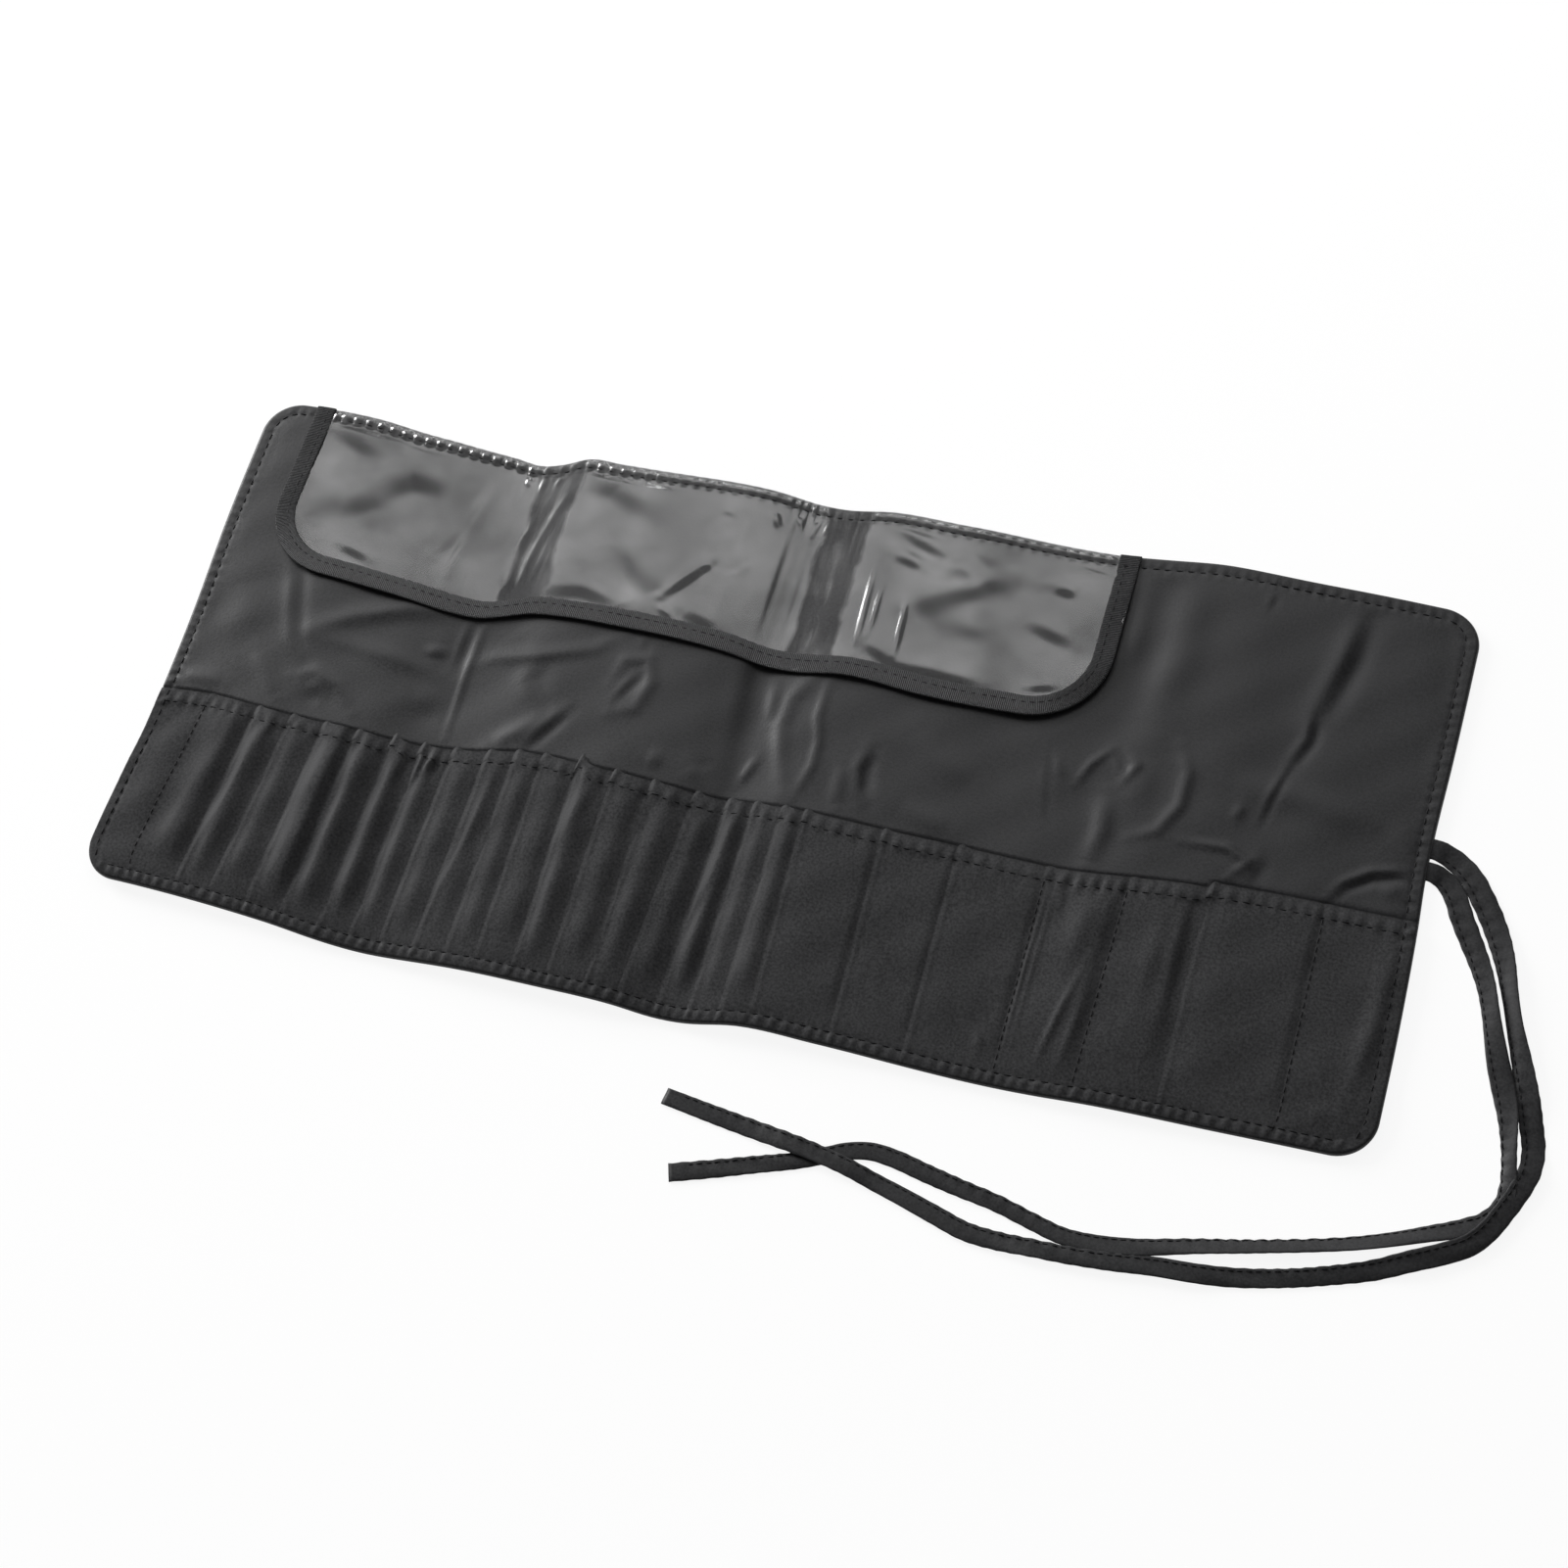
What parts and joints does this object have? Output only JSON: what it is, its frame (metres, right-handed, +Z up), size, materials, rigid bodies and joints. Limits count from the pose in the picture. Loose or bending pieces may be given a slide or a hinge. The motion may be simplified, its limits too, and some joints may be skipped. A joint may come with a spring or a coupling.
{
  "type": "makeup brush case",
  "caption": "Roll-up cloth case lying open: a pleated pocket panel with slots for brushes, a clear vinyl flap with a woven binding along the far edge, and two tie tapes at one end.",
  "frame": {"origin": "middle of the open panel's underside, on the surface that it lies on; the ties are left out", "axes": "+X along the case from the narrow slots towards the tie end, +Y from the pockets towards the flap's sewn edge, +Z up out of the inner face"},
  "size_m": [0.5562, 0.2866, 0.01],
  "materials": {
    "cover_cloth": "matt satin weave",
    "interlining_felt": "non-woven felt",
    "lining_cloth": "satin weave",
    "pocket_cloth": "satin weave",
    "clear_vinyl": "clear, glossy",
    "binding_tape": "ribbed woven tape",
    "tie_tape": "satin weave, folded and edge stitched"
  },
  "bodies": {
    "case_1": {"cover_1": "cover_cloth", "interlining_1": "interlining_felt", "lining_1": "lining_cloth", "pockets_1": "pocket_cloth", "flap_rim_1": "clear_vinyl"},
    "case_2": {"cover_2": "cover_cloth", "interlining_2": "interlining_felt", "lining_2": "lining_cloth", "pockets_2": "pocket_cloth", "flap_rim_2": "clear_vinyl"},
    "case_3": {"cover_3": "cover_cloth", "interlining_3": "interlining_felt", "lining_3": "lining_cloth", "pockets_3": "pocket_cloth", "flap_rim_3": "clear_vinyl"},
    "case_4": {"cover_4": "cover_cloth", "interlining_4": "interlining_felt", "lining_4": "lining_cloth", "pockets_4": "pocket_cloth", "flap_rim_4": "clear_vinyl"},
    "case_5": {"cover_5": "cover_cloth", "interlining_5": "interlining_felt", "lining_5": "lining_cloth", "pockets_5": "pocket_cloth", "flap_rim_5": "clear_vinyl"},
    "case_6": {"cover_6": "cover_cloth", "interlining_6": "interlining_felt", "lining_6": "lining_cloth", "pockets_6": "pocket_cloth", "flap_rim_6": "clear_vinyl"},
    "case_7": {"cover_7": "cover_cloth", "interlining_7": "interlining_felt", "lining_7": "lining_cloth", "pockets_7": "pocket_cloth", "tie_upper": "tie_tape", "tie_lower": "tie_tape"},
    "flap_1": {"flap_sheet_1": "clear_vinyl", "flap_binding_1": "binding_tape"},
    "flap_2": {"flap_sheet_2": "clear_vinyl", "flap_binding_2": "binding_tape"},
    "flap_3": {"flap_sheet_3": "clear_vinyl", "flap_binding_3": "binding_tape"},
    "flap_4": {"flap_sheet_4": "clear_vinyl", "flap_binding_4": "binding_tape"},
    "flap_5": {"flap_sheet_5": "clear_vinyl", "flap_binding_5": "binding_tape"},
    "flap_6": {"flap_sheet_6": "clear_vinyl", "flap_binding_6": "binding_tape"}
  },
  "joints": [
    {"name": "roll_up", "type": "hinge", "parent": "case_7", "child": "case_6", "pos_m": [0.1435, 0, 0.0092], "axis": [0, 1, 0], "range_deg": [0, 90]},
    {"name": "roll_up_5", "type": "hinge", "parent": "case_6", "child": "case_5", "pos_m": [0.0523, 0, 0.0092], "axis": [0, 1, 0], "range_deg": [0, 90]},
    {"name": "roll_up_4", "type": "hinge", "parent": "case_5", "child": "case_4", "pos_m": [-0.0403, 0, 0.0092], "axis": [0, 1, 0], "range_deg": [0, 90]},
    {"name": "roll_up_3", "type": "hinge", "parent": "case_4", "child": "case_3", "pos_m": [-0.1093, 0, 0.0092], "axis": [0, 1, 0], "range_deg": [0, 90]},
    {"name": "roll_up_2", "type": "hinge", "parent": "case_3", "child": "case_2", "pos_m": [-0.1619, 0, 0.0092], "axis": [0, 1, 0], "range_deg": [0, 90]},
    {"name": "roll_up_1", "type": "hinge", "parent": "case_2", "child": "case_1", "pos_m": [-0.2063, 0, 0.0092], "axis": [0, 1, 0], "range_deg": [0, 90]},
    {"name": "flap_lift", "type": "hinge", "parent": "case_5", "child": "flap_5", "pos_m": [0.006, 0.105, 0.0041], "axis": [-1, 0, 0], "range_deg": [0, 173]},
    {"name": "flap_lift_1", "type": "hinge", "parent": "case_1", "child": "flap_1", "pos_m": [-0.21865, 0.105, 0.0041], "axis": [-1, 0, 0], "range_deg": [0, 173]},
    {"name": "flap_lift_2", "type": "hinge", "parent": "case_2", "child": "flap_2", "pos_m": [-0.1841, 0.105, 0.0041], "axis": [-1, 0, 0], "range_deg": [0, 173]},
    {"name": "flap_lift_3", "type": "hinge", "parent": "case_3", "child": "flap_3", "pos_m": [-0.1356, 0.105, 0.0041], "axis": [-1, 0, 0], "range_deg": [0, 173]},
    {"name": "flap_lift_4", "type": "hinge", "parent": "case_4", "child": "flap_4", "pos_m": [-0.0748, 0.105, 0.0041], "axis": [-1, 0, 0], "range_deg": [0, 173]},
    {"name": "flap_lift_6", "type": "hinge", "parent": "case_6", "child": "flap_6", "pos_m": [0.08515, 0.105, 0.0041], "axis": [-1, 0, 0], "range_deg": [0, 173]}
  ],
  "couplings": [
    {"joint": "roll_up_5", "follows": "roll_up", "ratio": 1},
    {"joint": "roll_up_4", "follows": "roll_up", "ratio": 1},
    {"joint": "roll_up_3", "follows": "roll_up", "ratio": 1},
    {"joint": "roll_up_2", "follows": "roll_up", "ratio": 1},
    {"joint": "roll_up_1", "follows": "roll_up", "ratio": 1},
    {"joint": "flap_lift_1", "follows": "flap_lift", "ratio": 1},
    {"joint": "flap_lift_2", "follows": "flap_lift", "ratio": 1},
    {"joint": "flap_lift_3", "follows": "flap_lift", "ratio": 1},
    {"joint": "flap_lift_4", "follows": "flap_lift", "ratio": 1},
    {"joint": "flap_lift_6", "follows": "flap_lift", "ratio": 1}
  ]
}
